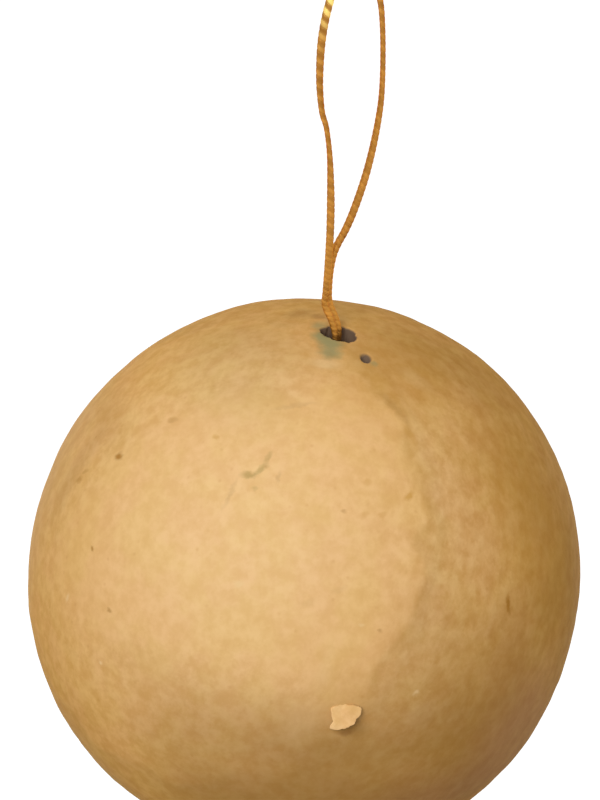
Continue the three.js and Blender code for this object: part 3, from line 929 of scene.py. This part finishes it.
# %% Gold finish
# the lighter strand's gold is a painted highlight, the notch colour painted shade, the palest foil a painted
# glint
HIGHLIGHT_GOLD, DULL_GOLD, NOTCH_SHADE = paint(207, 147, 67), paint(161, 105, 43), paint(148, 95, 40)
PAINTED_GLINT = paint(255, 226, 132)
WINDINGS = 7  # foil windings in each turn of the twist
WINDING_STRENGTH, WINDING_DEPTH = 0.3, 0.00002
STRAND_RANGE = 0.8  # how far the strands' number goes to either side from dull to bright
DULL_GLINT = 0.1  # how much of the painted glint the dull strand has
NOTCH_FROM, NOTCH_SHADE_AMOUNT = 0.2, 0.4  # how deep the notch has to be for its painted shade, and how strong that shade gets
# Worn patches: waves per metre, detail, roughness; their range; and the tone and roughness at its ends.
WORN, WORN_RANGE = (500, 3, 0.55), (0.3, 0.7)
WORN_TONE, WORN_ROUGHNESS = (0.86, 1.1), (0.3, 0.5)
GOLD_SURFACE = {"Metallic": 0.8, "Specular IOR Level": 0.1, "Specular Tint": DULL_GOLD}


def gold_thread():
    """One strand painted lighter as a highlight and one dull, painted shade in the notches between them, and
    a far brighter painted glint on the left leg near the top of the loop, with foil windings as fine waves
    of the twist in the bump, and patches that are more or less worn."""
    material, tree, shader = new_material("gold_thread")
    notch, strand, turns, fresh = own_numbers(tree, "notch", "strand", "turns", "fresh")
    angle = multiplied(tree, turns, 2 * math.pi * WINDINGS)
    winding = add_node(tree, "Math", {0: angle}, operation="SINE").outputs["Value"]
    place = add_node(tree, "TexCoord", {}).outputs["Object"]
    worn = clouds(tree, place, *WORN).outputs["Fac"]
    bright = ranged(tree, strand, -STRAND_RANGE, STRAND_RANGE, 0, 1)
    glinting = multiplied(tree, ranged(tree, bright, 0, 1, DULL_GLINT, 1), fresh)
    brown = ranged(tree, notch, NOTCH_FROM, 1, 0, NOTCH_SHADE_AMOUNT)
    colour = blended(tree, "MIX", bright, DULL_GOLD, HIGHLIGHT_GOLD)
    # the painted glint
    colour = blended(tree, "MIX", glinting, colour, PAINTED_GLINT)
    # painted shade in the notches between the strands
    colour = blended(tree, "MIX", brown, colour, NOTCH_SHADE)
    colour = blended(tree, "MULTIPLY", 1.0, colour, ranged(tree, worn, *WORN_RANGE, *WORN_TONE))
    bump = {"Height": winding, "Strength": WINDING_STRENGTH, "Distance": WINDING_DEPTH}
    feed(tree, shader, {
        "Base Color": colour,
        "Roughness": ranged(tree, worn, *WORN_RANGE, *WORN_ROUGHNESS),
        "Normal": add_node(tree, "Bump", bump).outputs["Normal"],
        **GOLD_SURFACE,
    })
    return material


gold = gold_thread()
gold_pieces = (cord, knot, *tails)
for piece in gold_pieces:
    piece.data.materials.append(gold)
print("gold thread on", len(gold_pieces), "pieces")

# %% [markdown]
# ## Floor and light
#
# The photograph was taken against white with one broad light from the upper left, close to the camera. A
# large round area light does the same, and two weaker ones behind the ball lift its edges and its back.
# The floor lies well below the hanging ball; it and the world look white to the camera and to reflections,
# and give only a little light to the ball's shaded side.

# %% Floor
FLOOR_Z = -0.70
FLOOR_HALF = 4.0
FLOOR_SHADE, FLOOR_WHITE = paint(120, 120, 120), paint(245, 245, 245)  # as it lights, and as it is seen
FLOOR_GLOW = 0.8
WHITE = (1, 1, 1, 1)

corners = [(x * FLOOR_HALF, y * FLOOR_HALF, FLOOR_Z) for x, y in ((-1, -1), (1, -1), (1, 1), (-1, 1))]
floor_mesh = bpy.data.meshes.new("floor")
floor_mesh.from_pydata(corners, [], [(0, 1, 2, 3)])
floor = bpy.data.objects.new("floor", floor_mesh)
bpy.context.scene.collection.objects.link(floor)


def seen_directly(tree):
    """1 for rays from the camera, a mirror or a clear body, and 0 for rays that carry light on."""
    rays = add_node(tree, "LightPath", {}).outputs
    seen = rays["Is Camera Ray"]
    for kind in ("Is Glossy Ray", "Is Transmission Ray"):
        seen = add_node(tree, "Math", {0: seen, 1: rays[kind]}, operation="MAXIMUM").outputs["Value"]
    return seen


paper_floor, tree, shader = new_material("pale_floor")
seen = seen_directly(tree)
feed(tree, shader, {
    "Base Color": blended(tree, "MIX", seen, FLOOR_SHADE, FLOOR_WHITE),
    "Emission Strength": ranged(tree, seen, 0, 1, 0, FLOOR_GLOW),
    "Emission Color": WHITE,
    "Roughness": 1.0,
    "Specular IOR Level": 0.0,
})
floor_mesh.materials.append(paper_floor)
print("floor", 2 * FLOOR_HALF, "m wide, at", FLOOR_Z, "m")

# %% World
AMBIENT = 0.33
world = bpy.data.worlds.new("white_studio")
bpy.context.scene.world = world
world.use_nodes = True
tree = world.node_tree
strength = ranged(tree, seen_directly(tree), 0, 1, AMBIENT, 1.0)
feed(tree, tree.nodes["Background"], {"Color": WHITE, "Strength": strength})
print("world light", AMBIENT)

# %% Lamps
# The way from the ball to each lamp as right, up and towards the viewer, its power and its size.
LAMPS = {
    "broad_lamp": ((-0.21, 0.165, 0.963), 3.88, 0.45),
    "right_fill": ((0.6, -0.05, -0.8), 1.5, 0.6),
    "back_lamp": ((-0.38, 0.1, -0.92), 2.2, 0.6),
}
LAMP_DISTANCE = 0.8

for name, (way, power, size) in LAMPS.items():
    lamp = bpy.data.objects.new(name, bpy.data.lights.new(name, "AREA"))
    lamp.data.shape = "DISK"
    lamp.data.size = size
    lamp.data.energy = power
    lamp_way = camera.rotation_quaternion @ Vector(way).normalized()
    lamp.location = BALL_CENTRE + LAMP_DISTANCE * lamp_way
    lamp.rotation_mode = "QUATERNION"
    lamp.rotation_quaternion = (-lamp_way).to_track_quat("-Z", "Y")
    bpy.context.scene.collection.objects.link(lamp)
    print(name, "at", [round(x, 3) for x in lamp.location])
bpy.context.scene.view_settings.view_transform = "Standard"
